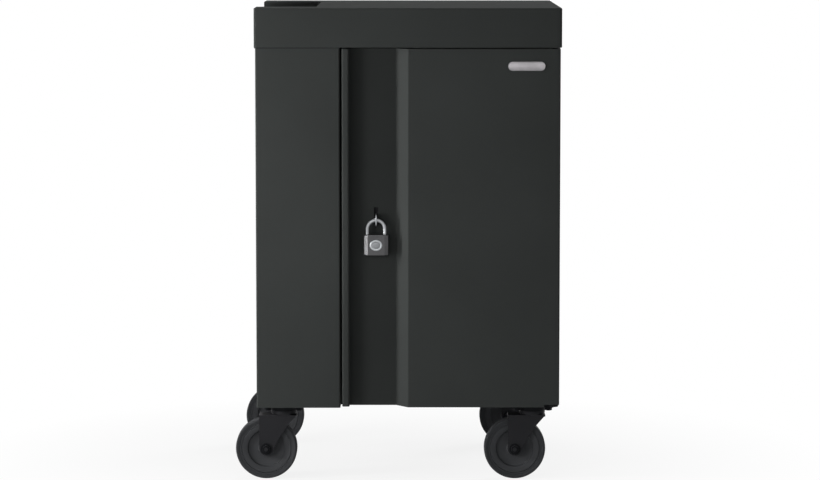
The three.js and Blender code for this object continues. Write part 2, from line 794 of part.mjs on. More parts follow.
const bowRadius = SHACKLE_SPAN / 2;
const heel = LOCK_DROP + HEEL_SPARE;
const toe = LOCK_DROP - 1;
const padlock = addGroup(cart, lockX, lockY, lockZ);

function shackle() {
  const toBody = LOCK_CLEAR - bowRadius;
  const section = new THREE.Shape().absarc(0, 0, SHACKLE_RADIUS, 0, 2 * Math.PI, false);
  const line = new ShackleLine(bowRadius, toBody + heel, toBody + toe);
  return solidOf(
    new THREE.ExtrudeGeometry(section, { steps: 16, curveSegments: 6, extrudePath: line }),
  );
}
addPiece(padlock, "padlock_shackle", shackle(), chrome);

function padlockBody() {
  const x = LOCK_WIDTH / 2;
  const y = LOCK_THICK / 2;
  const faceX = x - LOCK_CHAMFER;
  const sideY = y - 0.6 * LOCK_CHAMFER;
  const low = -LOCK_CLEAR - LOCK_TALL;
  const plan = polygon([
    [-faceX, -y],
    [faceX, -y],
    [x, -sideY],
    [x, sideY],
    [faceX, y],
    [-faceX, y],
    [-x, sideY],
    [-x, -sideY],
  ]);
  const body = solidOf(
    new THREE.ExtrudeGeometry(plan, {
      depth: LOCK_TALL - 2 * LOCK_EDGE,
      bevelEnabled: true,
      bevelThickness: LOCK_EDGE,
      bevelSize: LOCK_EDGE,
      bevelOffset: -LOCK_EDGE,
      bevelSegments: 1,
    }).translate(0, 0, low + LOCK_EDGE),
  );
  const oval = (inset, y0, y1) => {
    const shape = new THREE.Shape();
    const wide = MEDALLION_WIDE / 2 - inset;
    const tall = MEDALLION_TALL / 2 - inset;
    shape.absellipse(0, low + LOCK_TALL / 2, wide, tall, 0, 2 * Math.PI);
    return prismY(shape, y0, y1, 8);
  };
  const medallion = oval(0, -y - 1.4, 1 - y).subtract(oval(MEDALLION_RIM, -y - 2, -y - 0.8));
  const bore = SHACKLE_RADIUS + FIT + 0.1;
  return cutBy(
    body.add(medallion),
    rodZ(bore, -bowRadius, 0, -LOCK_CLEAR - heel - 2, 1 - LOCK_CLEAR),
    rodZ(bore, bowRadius, 0, -LOCK_CLEAR - toe - 2, 1 - LOCK_CLEAR),
    rodZ(PLUG_RADIUS + FIT, 0, 0, low - 1, low + LOCK_TALL / 2),
  );
}
addPiece(padlock, "padlock_body", padlockBody(), lockSteel);

function padlockPlug() {
  const low = -LOCK_CLEAR - LOCK_TALL + 1;
  const keyway = block(-0.9, 0.9, -PLUG_RADIUS * 0.7, PLUG_RADIUS * 0.7, low - 1, low + LOCK_TALL / 4);
  return rodZ(PLUG_RADIUS, 0, 0, low, low + LOCK_TALL / 2 - 1 - FIT).subtract(keyway);
}
addPiece(padlock, "padlock_plug", padlockPlug(), brass);

// Rear sill under the rear door: a closed pan that carries the inlet and the switch
const sillFront = rearJamb + FIT;
const panPathRear = (face) => [
  [half - SIDE_RETURN, face],
  [half, face],
  [half, rear],
  [-half, rear],
  [-half, face],
  [-half + SIDE_RETURN, face],
];
const capPlate = (face) => {
  const x = half - SHEET / 2;
  const y0 = face + SHEET / 2;
  const y1 = rear - SHEET / 2;
  return polygon([[-x, y0], [x, y0], [x, y1], [-x, y1]]);
};
const rearPivotX = -pivotX;
const rearPivotY = -pivotY;
const inletX = -half * 0.6;
const switchX = inletX + INLET_WIDTH * 1.6;
const powerZ = (bottom + sillTop) / 2;
const inletBack = rear - PAN_DEPTH;
const inletHole = roundedRectangle(
  inletX - INLET_WIDTH / 2,
  inletX + INLET_WIDTH / 2,
  powerZ - INLET_TALL / 2,
  powerZ + INLET_TALL / 2,
  3,
);
const rockerWide = ROCKER_LENGTH * 0.6;
const bezelX = ROCKER_LENGTH / 2 + BEZEL_RIM;
const bezelZ = rockerWide / 2 + BEZEL_RIM;
const switchHole = (grow) =>
  roundedRectangle(
    switchX - bezelX - grow,
    switchX + bezelX + grow,
    powerZ - bezelZ - grow,
    powerZ + bezelZ + grow,
    2,
  );
const rearSill = cutBy(
  joined(
    prismZ(bentSheet(panPathRear(sillFront)), bottom, sillTop),
    prismZ(capPlate(sillFront), bottom, bottom + SHEET),
    prismZ(capPlate(sillFront), sillTop - SHEET, sillTop),
  ),
  prismY(inletHole, rear - 5, rear + 1, 1),
  prismY(switchHole(0), rear - 5, rear + 1, 1),
  rodZ(PIN_RADIUS + FIT, rearPivotX, rearPivotY, sillTop - 5, sillTop + 1),
);
addPiece(cart, "rear_sill", rearSill, charcoal);

const trimFace = rear + CAP_OVERHANG - FIT;
function powerInlet() {
  const x = INLET_WIDTH / 2;
  const z = INLET_TALL / 2;
  const inX = x - FIT;
  const inZ = z - FIT;
  const bodyShape = roundedRectangle(inletX - inX, inletX + inX, powerZ - inZ, powerZ + inZ, 3);
  const outX = x + INLET_FLANGE;
  const outZ = z + 0.8 * INLET_FLANGE;
  const flange = roundedRectangle(inletX - outX, inletX + outX, powerZ - outZ, powerZ + outZ, 4);
  const mouth = roundedRectangle(inletX - x / 2, inletX + x / 2, powerZ - z * 0.66, powerZ + z * 0.66, 3);
  return cutBy(
    joined(prismY(bodyShape, inletBack, rear + 1, 1), prismY(flange, rear + FIT, trimFace, 1)),
    prismY(mouth, inletBack + INLET_FLOOR, trimFace + 1, 1),
  );
}
addPiece(cart, "power_inlet", powerInlet(), blackPlastic);

const rockerPivot = rear - ROCKER_SINK;
const pocketDeep = 2 * ROCKER_THICK;
function switchBezel() {
  const pocketX = ROCKER_LENGTH / 2 + 2 * FIT;
  const pocketZ = rockerWide / 2 + FIT;
  const pocket = block(
    switchX - pocketX,
    switchX + pocketX,
    rockerPivot - pocketDeep,
    trimFace + 1,
    powerZ - pocketZ,
    powerZ + pocketZ,
  );
  return joined(
    prismY(switchHole(-FIT), inletBack, rear + 1, 1),
    prismY(switchHole(BEZEL_RIM), rear + FIT, trimFace, 1),
  ).subtract(pocket);
}
addPiece(cart, "switch_bezel", switchBezel(), blackPlastic);

const rockerSeat = addGroup(cart, switchX, rockerPivot, powerZ);
rockerSeat.rotation.z = THREE.MathUtils.degToRad(ROCKER_TILT);
const rockerReach = ROCKER_LENGTH / 2 - FIT;
const rockerShape = polygon([
  [-rockerReach, -ROCKER_THICK],
  [rockerReach, -ROCKER_THICK],
  [rockerReach, 1.6],
  [0, 0.4],
  [-rockerReach, 1.6],
]);
addPiece(rockerSeat, "switch_rocker", prismZ(rockerShape, -rockerWide / 2, rockerWide / 2), blackPlastic);

// Rear door: a closed pan with vent slots and a hole for its lock
const rearDoorLow = sillTop + DOOR_GAP;
const rearDoorBack = rear - PAN_DEPTH;
const camX = half - SIDE_RETURN - CAM_WIDTH;
const camZ = (rearDoorLow + doorTop) / 2;
let rearDoor = cutBy(
  joined(
    prismZ(bentSheet(panPathRear(rearDoorBack)), rearDoorLow, doorTop),
    prismZ(capPlate(rearDoorBack), rearDoorLow, rearDoorLow + SHEET),
    prismZ(capPlate(rearDoorBack), doorTop - SHEET, doorTop),
  ),
  rodZ(PIN_RADIUS + FIT, rearPivotX, rearPivotY, rearDoorLow - 1, doorTop + 1),
  rodY(CAM_BARREL + FIT, camX, camZ, rear - 5, rear + 1),
);
const ventPitch = 3 * VENT_WIDTH;
const upperVents = doorTop - VENT_INSET - (VENT_ROWS - 1) * ventPitch;
for (const bank of [rearDoorLow + VENT_INSET, upperVents]) {
  for (let row = 0; row < VENT_ROWS; row += 1) {
    for (let column = 0; column < VENT_COLUMNS; column += 1) {
      const x = (column - (VENT_COLUMNS - 1) / 2) * VENT_LENGTH * 1.3;
      const vent = rectangle(x, bank + row * ventPitch, VENT_LENGTH, VENT_WIDTH);
      rearDoor = rearDoor.subtract(prismY(vent, rear - 5, rear + 1));
    }
  }
}
addPiece(cart, "rear_door", rearDoor, charcoal);

addPiece(cart, "rear_bracket", pivotBracket(rearPivotX, rearPivotY, rearJamb, bracketHigh), blackCoat);
addPiece(
  cart,
  "rear_pin_upper",
  collaredPin(rearPivotX, rearPivotY, doorTop - PIN_REACH, doorTop + FIT, bracketHigh - FIT, pinHigh),
  bearingSteel,
);
addPiece(
  cart,
  "rear_pin_lower",
  collaredPin(
    rearPivotX,
    rearPivotY,
    sillTop - PIN_REACH,
    sillTop + FIT,
    rearDoorLow - FIT,
    rearDoorLow + PIN_REACH,
  ),
  bearingSteel,
);

// Rear cam lock: a barrel in the door and a plug that carries the cam behind the jamb
const barrelEnd = rearDoorBack - 3;
function lockBarrel() {
  const bore = PLUG_RADIUS + FIT;
  const head = CAM_BARREL + 2;
  const profile = [
    [bore, barrelEnd],
    [CAM_BARREL, barrelEnd],
    [CAM_BARREL, rear + FIT],
    [head, rear + FIT],
    [head - 0.6, trimFace],
    [bore, trimFace],
    [bore, barrelEnd],
  ];
  return turnedY(profile, PIN_FACETS).translate([camX, 0, camZ]);
}
addPiece(cart, "rear_lock_barrel", lockBarrel(), chrome);

function lockCam() {
  const camFront = rearJamb - SHEET - CAM_GAP;
  const camBack = camFront - BRACKET_SHEET;
  const cam = roundedRectangle(-CAM_WIDTH / 2, CAM_WIDTH / 2, -CAM_LENGTH, CAM_WIDTH / 2, CAM_WIDTH * 0.4);
  const keyway = block(-0.9, 0.9, trimFace - 8, trimFace + 1, -PLUG_RADIUS * 0.7, PLUG_RADIUS * 0.7);
  return joined(
    rodY(PLUG_RADIUS, 0, 0, camBack + 1, trimFace - FIT),
    prismY(cam, camBack, camFront, 3),
  ).subtract(keyway);
}
const camSeat = addGroup(cart, camX, 0, camZ);
addPiece(camSeat, "rear_lock_cam", lockCam(), chrome);

// Rear bay: an outlet strip and an adapter tray for each tier, and the power module
function outletStrip() {
  const length = SLOTS * slotPitch;
  const section = roundedRectangle(0, STRIP_DEEP, -STRIP_TALL / 2, STRIP_TALL / 2, 3);
  let strip = prismX(section, -length / 2, length / 2);
  for (let i = 0; i < SLOTS; i += 1) {
    const x = (i - (SLOTS - 1) / 2) * slotPitch;
    const face = rectangle(x, 0, OUTLET_WIDTH, OUTLET_TALL);
    strip = strip.subtract(prismY(face, STRIP_DEEP - 2, STRIP_DEEP + 1));
  }
  return strip;
}

function adapterTray() {
  const length = SLOTS * slotPitch;
  const path = [
    [0, 2 * TRAY_LIP],
    [0, 0],
    [TRAY_DEEP, 0],
    [TRAY_DEEP, TRAY_LIP],
  ];
  return prismX(bentSheet(path), -length / 2, length / 2);
}

for (const [name, z] of [["lower", floorTop], ["upper", shelfTop]]) {
  const traySpot = addGroup(cart, bayMiddle, bulkBack + FIT, z + TRAY_RISE);
  addPiece(traySpot, `adapter_tray_${name}`, adapterTray(), innerPaint);
  const stripSpot = addGroup(cart, bayMiddle, bulkBack + FIT, z + tier - STRIP_DROP);
  addPiece(stripSpot, `outlet_strip_${name}`, outletStrip(), blackPlastic);
}

const moduleWide = PANEL_WIDTH * 0.7;
const moduleDeep = REAR_BAY * 1.8;
const moduleSpot = addGroup(cart, (seamLeft - half) / 2, bulkFront - REAR_BAY / 2, floorTop + FIT);
function powerModule() {
  const x = moduleWide / 2;
  const y = moduleDeep / 2;
  const tall = 1.2 * moduleWide;
  const footX = x + MODULE_FOOT;
  const footY = y - 2 * MODULE_FOOT;
  const hollow = block(-x + SHEET, x - SHEET, -y + SHEET, y - SHEET, -1, tall - SHEET);
  let housing = cutBy(
    joined(
      prismZ(roundedRectangle(-x, x, -y, y, BEND), 0, tall),
      block(-footX, footX, -footY, footY, 0, 2 * SHEET),
    ),
    hollow,
  );
  for (let i = 0; i < VENT_ROWS; i += 1) {
    const z = 0.4 * tall + 3.5 * i * MODULE_VENT;
    housing = housing.subtract(block(-0.7 * x, 0.7 * x, y - 2 * SHEET, y + 1, z, z + MODULE_VENT));
  }
  return housing;
}
addPiece(moduleSpot, "power_module", powerModule(), blackCoat);

// Casters: plate with kingpin, fork, axle, wheel core and tyre, drawn about the swivel axis
const plateTop = CASTER_HEIGHT - FIT;
const plateLowFace = plateTop - PLATE_SHEET;
const forkTop = 2 * WHEEL_RADIUS + FORK_ROOM + FORK_SHEET;
const raceTop = forkTop + RACE_HEIGHT;
const legInside = WHEEL_WIDTH / 2 + FORK_ROOM;
const legOutside = legInside + FORK_SHEET;
const coreRadius = WHEEL_RADIUS - TYRE_DEEP;

function casterPlate() {
  const headTop = forkTop - FORK_SHEET - FIT;
  const spindle = turnedZ(
    [
      [0, headTop - FORK_SHEET],
      [KINGPIN_HEAD, headTop - FORK_SHEET],
      [KINGPIN_HEAD, headTop],
      [AXLE_RADIUS, headTop],
      [AXLE_RADIUS, raceTop + FIT],
      [RACE_RADIUS + 1, raceTop + FIT],
      [RACE_RADIUS + 3, plateLowFace + 0.5],
      [0, plateLowFace + 0.5],
    ],
    RACE_FACETS,
  );
  const plan = roundedRectangle(-PLATE_LENGTH / 2, PLATE_LENGTH / 2, -PLATE_WIDTH / 2, PLATE_WIDTH / 2, 8);
  return prismZ(plan, plateLowFace, plateTop).add(spindle);
}

function casterFork() {
  const eye = new THREE.Vector2(-TRAIL, WHEEL_RADIUS);
  const corner = new THREE.Vector2(RACE_RADIUS, forkTop);
  const way = corner.clone().sub(eye);
  const touch = way.angle() - Math.acos(AXLE_EYE / way.length());
  const foot = new THREE.Vector2(AXLE_EYE, 0).rotateAround(new THREE.Vector2(), touch).add(eye);
  const edge = foot.clone().sub(corner).normalize();
  const inward = new THREE.Vector2(edge.y, -edge.x);
  const waist = corner.clone().lerp(foot, 0.5).addScaledVector(inward, FORK_WAIST);
  const leg = new THREE.Shape();
  leg.moveTo(corner.x, corner.y);
  leg.quadraticCurveTo(waist.x, waist.y, foot.x, foot.y);
  leg.absarc(eye.x, eye.y, AXLE_EYE, touch, -Math.PI, true);
  leg.lineTo(eye.x - AXLE_EYE, forkTop);
  const bridge = roundedRectangle(eye.x - AXLE_EYE, RACE_RADIUS, -legOutside, legOutside, 3);
  const race = turnedZ(
    [
      [0, forkTop - 1],
      [RACE_RADIUS - 2, forkTop - 1],
      [RACE_RADIUS, forkTop + RACE_HEIGHT / 2],
      [RACE_RADIUS, raceTop],
      [0, raceTop],
    ],
    RACE_FACETS,
  );
  return cutBy(
    joined(
      prismY(leg, -legOutside, -legInside, 3),
      prismY(leg, legInside, legOutside, 3),
      prismZ(bridge, forkTop - FORK_SHEET, forkTop),
      race,
    ),
    rodZ(AXLE_RADIUS + FIT, 0, 0, forkTop - 10, raceTop + 1),
    rodY(AXLE_RADIUS + FIT, -TRAIL, WHEEL_RADIUS, -2 * legOutside, 2 * legOutside),
  );
}

function casterAxle() {
  const face = legOutside + FIT;
  const washer = AXLE_EYE * 0.85;
  const headRadius = AXLE_RADIUS + 2;
  const outside = face + WASHER;
  const shaft = turnedY(
    [
      [0, -outside],
      [washer, -outside],
      [washer, -face],
      [AXLE_RADIUS, -face],
      [AXLE_RADIUS, face],
      [washer, face],
      [washer, outside],
      [0, outside],
    ],
    PIN_FACETS,
  );
  return joined(
    shaft,
    rodY(headRadius, 0, 0, -face - AXLE_HEAD, -face - 1, 6),
    rodY(headRadius, 0, 0, face + 1, face + AXLE_HEAD, 6),
  );
}

function wheelCore() {
  const bore = AXLE_RADIUS + FIT;
  const boss = legInside - FIT;
  const rim = WHEEL_WIDTH / 2 - 1.5;
  const right = [
    [bore, boss],
    [bore + 8, boss],
    [bore + 10, rim - 7],
    [coreRadius * HUB_STEP - 2, rim - 7],
    [coreRadius * HUB_STEP, rim - 2],
    [coreRadius, rim],
  ];
  const left = right.map(([r, y]) => [r, -y]);
  const crown = [coreRadius + RIM_CROWN, 0];
  return turnedY([...left, crown, ...right.toReversed(), left[0]], CORE_FACETS);
}

function wheelTyre() {
  const seat = (coreRadius + FIT) / Math.cos(Math.PI / TYRE_FACETS);
  const w = WHEEL_WIDTH / 2;
  const right = [
    [seat, w - 1.5],
    [seat + 4, w - 1.5],
    [WHEEL_RADIUS - 2.5, w],
    [WHEEL_RADIUS, w - 4],
  ];
  const left = right.map(([r, y]) => [r, -y]);
  return turnedY([...left, ...right.toReversed(), [seat + RIM_CROWN, 0], left[0]], TYRE_FACETS);
}

const casterY = CAP_DEPTH / 2 - CASTER_INSET;
const casterSpots = [
  ["fl", -CASTER_X, -casterY],
  ["fr", CASTER_X, -casterY],
  ["rl", -CASTER_X, casterY],
  ["rr", CASTER_X, casterY],
];
for (const [place, x, y] of casterSpots) {
  const caster = addGroup(cart, x, y, 0);
  addPiece(caster, `caster_plate_${place}`, casterPlate(), bearingSteel);
  addPiece(caster, `caster_fork_${place}`, casterFork(), blackCoat);
  const wheel = addGroup(caster, -TRAIL, 0, WHEEL_RADIUS);
  addPiece(wheel, `caster_axle_${place}`, casterAxle(), blackCoat);
  addPiece(wheel, `wheel_core_${place}`, wheelCore(), wheelPlastic);
  addPiece(wheel, `wheel_tyre_${place}`, wheelTyre(), rubber);
}

// The origin lies on the floor under the middle of the whole outline, casters trailing to the left.
const wheelsLeft = -CASTER_X - TRAIL - WHEEL_RADIUS;
cart.position.x = -(wheelsLeft + CAP_WIDTH / 2) / 2;

const part = new THREE.Group();
part.name = "laptop_charging_cart";
part.add(cart);
export default part;
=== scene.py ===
import json
import math

import bmesh
import bpy
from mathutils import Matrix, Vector


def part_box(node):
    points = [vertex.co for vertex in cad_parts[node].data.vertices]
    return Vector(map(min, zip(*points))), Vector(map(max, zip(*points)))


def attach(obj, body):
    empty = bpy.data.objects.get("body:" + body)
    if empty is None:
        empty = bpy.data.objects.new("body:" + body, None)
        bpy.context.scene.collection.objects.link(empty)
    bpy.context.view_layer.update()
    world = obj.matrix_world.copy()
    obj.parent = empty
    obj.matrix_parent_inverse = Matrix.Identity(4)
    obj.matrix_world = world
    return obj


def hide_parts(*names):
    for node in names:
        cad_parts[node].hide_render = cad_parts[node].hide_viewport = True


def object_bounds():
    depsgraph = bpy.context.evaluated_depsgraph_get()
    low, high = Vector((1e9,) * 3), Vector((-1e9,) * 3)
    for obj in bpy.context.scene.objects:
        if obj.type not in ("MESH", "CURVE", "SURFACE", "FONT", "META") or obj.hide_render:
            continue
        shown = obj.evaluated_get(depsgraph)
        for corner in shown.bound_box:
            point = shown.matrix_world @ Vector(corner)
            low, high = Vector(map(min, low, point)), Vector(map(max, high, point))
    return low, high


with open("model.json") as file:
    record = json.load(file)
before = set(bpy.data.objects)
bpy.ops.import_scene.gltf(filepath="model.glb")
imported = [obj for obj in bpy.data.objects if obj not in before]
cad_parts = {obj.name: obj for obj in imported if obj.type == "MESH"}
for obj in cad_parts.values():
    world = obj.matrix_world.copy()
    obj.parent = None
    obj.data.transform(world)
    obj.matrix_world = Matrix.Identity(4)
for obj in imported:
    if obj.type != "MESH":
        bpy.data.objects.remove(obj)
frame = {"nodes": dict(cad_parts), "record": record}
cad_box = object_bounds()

# Pieces are sized in millimetres; the camera, the lamps, the floor and bumps in metres
MM = 0.001
RIGHT = Vector((1, 0, 0))
BACK = Vector((0, 1, 0))
UP = Vector((0, 0, 1))
PLACES = ("fl", "fr", "rl", "rr")

# Camera, fitted to the photograph's outline, with its pitch in radians
PHOTO_WIDTH = 820
FOCAL_PIXELS = 3200.3
SENSOR = 36.0
CAMERA_PLACE = (0.02598, -6.78193, 1.16895)
CAMERA_PITCH = 0.1022
CAMERA_REACH = 200

# Edge rounding, and gaps between points that are welded
SHEET_EDGE = 0.3
MOULDED_EDGE = 0.6
TURNED_EDGE = 0.4
EDGE_STEPS = 2
CORNER_STEPS = 3
SOLID_GAP = 0.01
NEW_PIECE_GAP = 0.001

# Angles in degrees from which an edge is sharp; the padlock's chamfers are flatter
SHARP_EDGE = 38
FLAT_CHAMFER = 25
SHARP_ON_NEW_PIECES = 35

# Angle in degrees within which the facets of a solid make one flat face
FLAT_FACETS = 0.5

# Colours of the finishes as screen levels from 0 to 255
PAINT = (56, 58, 57)
INNER_PAINT = (49, 51, 50)
ZINC = (136, 138, 140)
BLACK_COAT = (43, 43, 45)
BLACK_OXIDE = (22, 23, 25)
TYRE_RUBBER = (58, 59, 61)
# Dark strip under the cap's rim: painted shade in the seam
DARK_SEAM_STRIP = (28, 29, 30)
WHEEL_PLASTIC = (62, 63, 65)
BLACK_PLASTIC = (40, 41, 43)
CHROME = (150, 152, 154)
LOCK_STEEL = (78, 78, 79)
BRASS = (190, 160, 96)
BADGE_METAL = (134, 132, 134)
MEDALLION_METAL = (150, 153, 155)
MEDALLION_DISH_METAL = (118, 120, 122)

# Specular levels, and the stretch of a metal's texture along its grain
MATT_SHEEN = 0.03
SOFT_SHEEN = 0.1
NO_GRAIN = (1, 1, 1)
GRAIN_UPRIGHT = (1, 1, 0.05)
GRAIN_ACROSS = (0.03, 1, 1)
COARSE_SPANGLE = 140.0
FINE_SPANGLE = 60.0

# Badge plate on the door, bare. Its levels are pairs of inset from the outline and height.
BADGE_LENGTH = 76
BADGE_HEIGHT = 18.6
BADGE_ABOVE_FLOOR = 857
BADGE_FROM_DOOR_EDGE = 69.1
BADGE_LEVELS = [(0, 0), (0, 1.54), (0.5, 2.2), (1.2, 2.2), (1.6, 1.7), (3.6, 1.95), (6.1, 2.1)]

# Caster bolts: pairs of radius and height, for the head with its radius as a share of its corner's
PLATE_SHEET = 4
BOLT_INSET = 11
BOLT_ACROSS = 13
WASHER = [(8.45, 0), (8.45, 1.2), (8.15, 1.5)]
WASHER_SIDES = 24
BOLT_HEAD = [(1, 1.5), (1, 5.5), (0.88, 6.5), (0.4, 6.3)]

# Wheels: half profiles in pairs of radius and distance from the wheel's middle plane
WHEEL_SIDES = 72
TREAD = [(63.1, 0.3), (63.5, 0.9), (63.5, 10.4), (63.35, 12.2), (62.8, 14.2), (61.9, 15.5), (60.8, 16)]
TYRE_WALL = [(59.6, 15.9), (56, 15), (55.2, 14.5), (51.5, 14.5), (51, 14), (52.8, 0.5)]
CORE_RIM = [(52.5, 0.3), (50.6, 13.9), (50, 14.4), (49.2, 14.35), (40.2, 12.8), (39.1, 12.3), (38.4, 11)]
CORE_WEB = [(37.3, 8.2), (36.2, 7.5), (17.2, 7.5)]
CORE_HUB = [(16.3, 8.2), (14.8, 18.9), (14, 19.7), (6.8, 19.7), (6.3, 19.2)]

# Ends of the axles, in pairs of radius and height over the axle's end
AXLE_END = [(4.4, -0.5), (4.4, 0.5), (3.9, 1.1), (2.4, 1.5), (1.2, 1.2)]
AXLE_SIDES = 16

# Dark rubber strip under the cap's rim, painted shade for the shadowed seam there: pairs of distance
# from the wall and height under the rim
SEAM_STRIP_SECTION = [(0, 0), (0, -1.9), (0.9, -1.9), (1.4, -1.5), (1.6, -0.8), (1.6, 0)]
DOOR_SEAM = 3.6

# Padlock's shackle, bent in more steps than the solid it stands for
BOW_STEPS = 32
WIRE_SIDES = 24
WIRE_CHAMFER = 0.6
TOE_SHORTER = 15

# Bare oval medallion on the padlock: pairs of inset from the outline and height
MEDALLION_WIDE = 25.6
MEDALLION_TALL = 22.4
MEDALLION_SUNK = 0.4
MEDALLION_RIM = [(0, 0), (0, 0.7), (0.4, 1.15), (1.3, 1.5), (2.9, 1.5)]
MEDALLION_DISH = [(3.8, 1.2), (4.1, 0.6), (5.4, 0.55), (5.6, 0.95), (6.2, 1.15), (8.5, 1.2)]

# Turned rim on the head of the rear lock, in pairs of radius and height over the lock's face
LOCK_RIM = [(7, -0.6), (7, 0.2), (7.3, 0.5), (10.6, 0.5), (11.6, 0), (11.9, -0.8), (11.9, -2.2)]
LOCK_RIM_SIDES = 48

# Power inlet: places of its blades from its middle, and its screws in pairs of radius and height
BLADE_PLACES = ((-7, -2), (7, -2), (0, 3))
BLADE_WIDE = 2
BLADE_TALL = 4
BLADE_LONG = 13
BLADE_EDGE = 0.4
BLADE_FROM_INNER_END = 6
SCREW_FROM_END = 8
SCREW_DOME = [(4, 0), (4, 0.5), (3.44, 1.3), (2.48, 1.8), (2, 1.9), (1.84, 0.6)]
SCREW_SIDES = 18

# Outlet faces. A slot has its place from the face's middle, width, height and corner radius.
OUTLETS = 10
FACE_WIDE = 27.4
FACE_TALL = 29.4
FACE_THICK = 1.7
FACE_CORNER = 3
FACE_RECESS = 2
SLOT_FLOOR = 0.4
SLOT_TOP = 3
FACE_SLOTS = ((-6.3, 3, 2, 8, 0.4), (6.3, 3, 2, 6.6, 0.4), (0, -7, 4.6, 5.2, 2.2))

# Studio: the floor glows white far from the cart, and less near it, where the shadow falls
FLOOR_RADIUS = 70
FLOOR_SIDES = 96
FLOOR_ROUGH = 0.9
FLOOR_TONES = (0.84, 0.87)
GLOW_BY_CART = 0.86
GLOW_STARTS = 0.35
GLOW_FULL = 0.95
SKY_COLOUR = (0.9, 0.95, 1.0, 1)
SKY_STRENGTH = 0.05
WHITE = (1, 1, 1, 1)

nodes = frame["nodes"]


# Node trees
def node(tree, kind, values=None, **settings):
    made = tree.nodes.new(kind)
    for key, value in settings.items():
        setattr(made, key, value)
    for key, value in (values or {}).items():
        if isinstance(value, bpy.types.NodeSocket):
            tree.links.new(value, made.inputs[key])
        else:
            made.inputs[key].default_value = value
    return made


def new_material(name):
    made = bpy.data.materials.new(name)
    made.use_nodes = True
    tree = made.node_tree
    return made, tree, tree.nodes["Principled BSDF"]


def feed(tree, shader, socket, source):
    tree.links.new(source, shader.inputs[socket])


def stretched(tree, stretch):
    place = node(tree, "ShaderNodeTexCoord").outputs["Object"]
    return node(tree, "ShaderNodeMapping", {"Vector": place, "Scale": stretch}).outputs["Vector"]


def noise(tree, scale, detail, stretch=NO_GRAIN, distortion=0.0):
    values = {
        "Vector": stretched(tree, stretch),
        "Scale": scale,
        "Detail": detail,
        "Distortion": distortion,
    }
    return node(tree, "ShaderNodeTexNoise", values).outputs["Fac"]


def cells(tree, scale):
    values = {"Vector": stretched(tree, NO_GRAIN), "Scale": scale}
    return node(tree, "ShaderNodeTexVoronoi", values).outputs


def spread(tree, value, low, high, start=0.3, end=0.7):
    values = {"Value": value, "From Min": start, "From Max": end, "To Min": low, "To Max": high}
    return node(tree, "ShaderNodeMapRange", values).outputs["Result"]


def ramp(tree, value, stops):
    made = node(tree, "ShaderNodeValToRGB", {"Fac": value})
    elements = made.color_ramp.elements
    while len(elements) < len(stops):
        elements.new(0.5)
    for element, (place, colour) in zip(elements, stops):
        element.position = place
        element.color = (*colour, 1)
    return made.outputs["Color"]


def maths(tree, operation, first, second):
    made = node(tree, "ShaderNodeMath", operation=operation)
    for socket, value in zip(made.inputs, (first, second)):
        if isinstance(value, bpy.types.NodeSocket):
            tree.links.new(value, socket)
        else:
            socket.default_value = value
    return made.outputs["Value"]


def bump(tree, height, strength, depth, under=None):
    """A bumped normal, with the depth in metres, on top of another where one is given."""
    values = {"Height": height, "Strength": strength, "Distance": depth}
    if under:
        values["Normal"] = under
    return node(tree, "ShaderNodeBump", values).outputs["Normal"]


def colour_of(levels):
    """A screen colour from 0 to 255 as linear light."""
    shares = [level / 255 for level in levels]
    return tuple(s / 12.92 if s <= 0.04045 else ((s + 0.055) / 1.055) ** 2.4 for s in shares)


def shade(colour, factor):
    return tuple(min(1.0, channel * factor) for channel in colour)


def tones(tree, value, colour, low, high):
    return ramp(tree, value, [(0.3, shade(colour, low)), (0.7, shade(colour, high))])


# Finishes
def powder_coat(name, levels, rough, grain=0.16):
    """A cured coat: clouds of tone with fine flecks, orange peel and a fine grain."""
    made, tree, shader = new_material(name)
    shader.inputs["Specular IOR Level"].default_value = MATT_SHEEN
    cloud = maths(tree, "MULTIPLY", noise(tree, scale=4.0, detail=3), 0.6)
    fleck = maths(tree, "MULTIPLY", noise(tree, scale=1500.0, detail=1), 0.4)
    tone = maths(tree, "ADD", cloud, fleck)
    feed(tree, shader, "Base Color", tones(tree, tone, colour_of(levels), low=0.9, high=1.12))
    patches = noise(tree, scale=45.0, detail=4)
    feed(tree, shader, "Roughness", spread(tree, patches, low=rough - 0.06, high=rough + 0.07))
    peel = bump(tree, noise(tree, scale=320.0, detail=1), strength=0.12, depth=0.0004)
    fine = noise(tree, scale=1300.0, detail=2)
    feed(tree, shader, "Normal", bump(tree, fine, strength=grain, depth=0.0003, under=peel))
    return made


def scuffed_edge_with_painted_highlight(name, levels, rough):
    """The same coat on the rounded edges, lighter: partly worn thin by handling, partly a painted
    highlight along the edges.
    """
    made, tree, shader = new_material(name)
    shader.inputs["Specular IOR Level"].default_value = MATT_SHEEN
    colour = colour_of(levels)
    # Lighter patches along the edges: partly wear, partly a painted highlight standing in for light
    # catching the edges
    rub = noise(tree, scale=60.0, detail=4, distortion=0.4)
    lighter_scuffs_and_highlight = [(0.35, shade(colour, 1.05)), (0.6, shade(colour, 1.5)), (0.78, shade(colour, 3.0))]
    feed(tree, shader, "Base Color", ramp(tree, rub, lighter_scuffs_and_highlight))
    feed(tree, shader, "Roughness", spread(tree, rub, low=rough, high=rough - 0.15))
    fine = noise(tree, scale=900.0, detail=2)
    feed(tree, shader, "Normal", bump(tree, fine, strength=0.1, depth=0.0002))
    return made


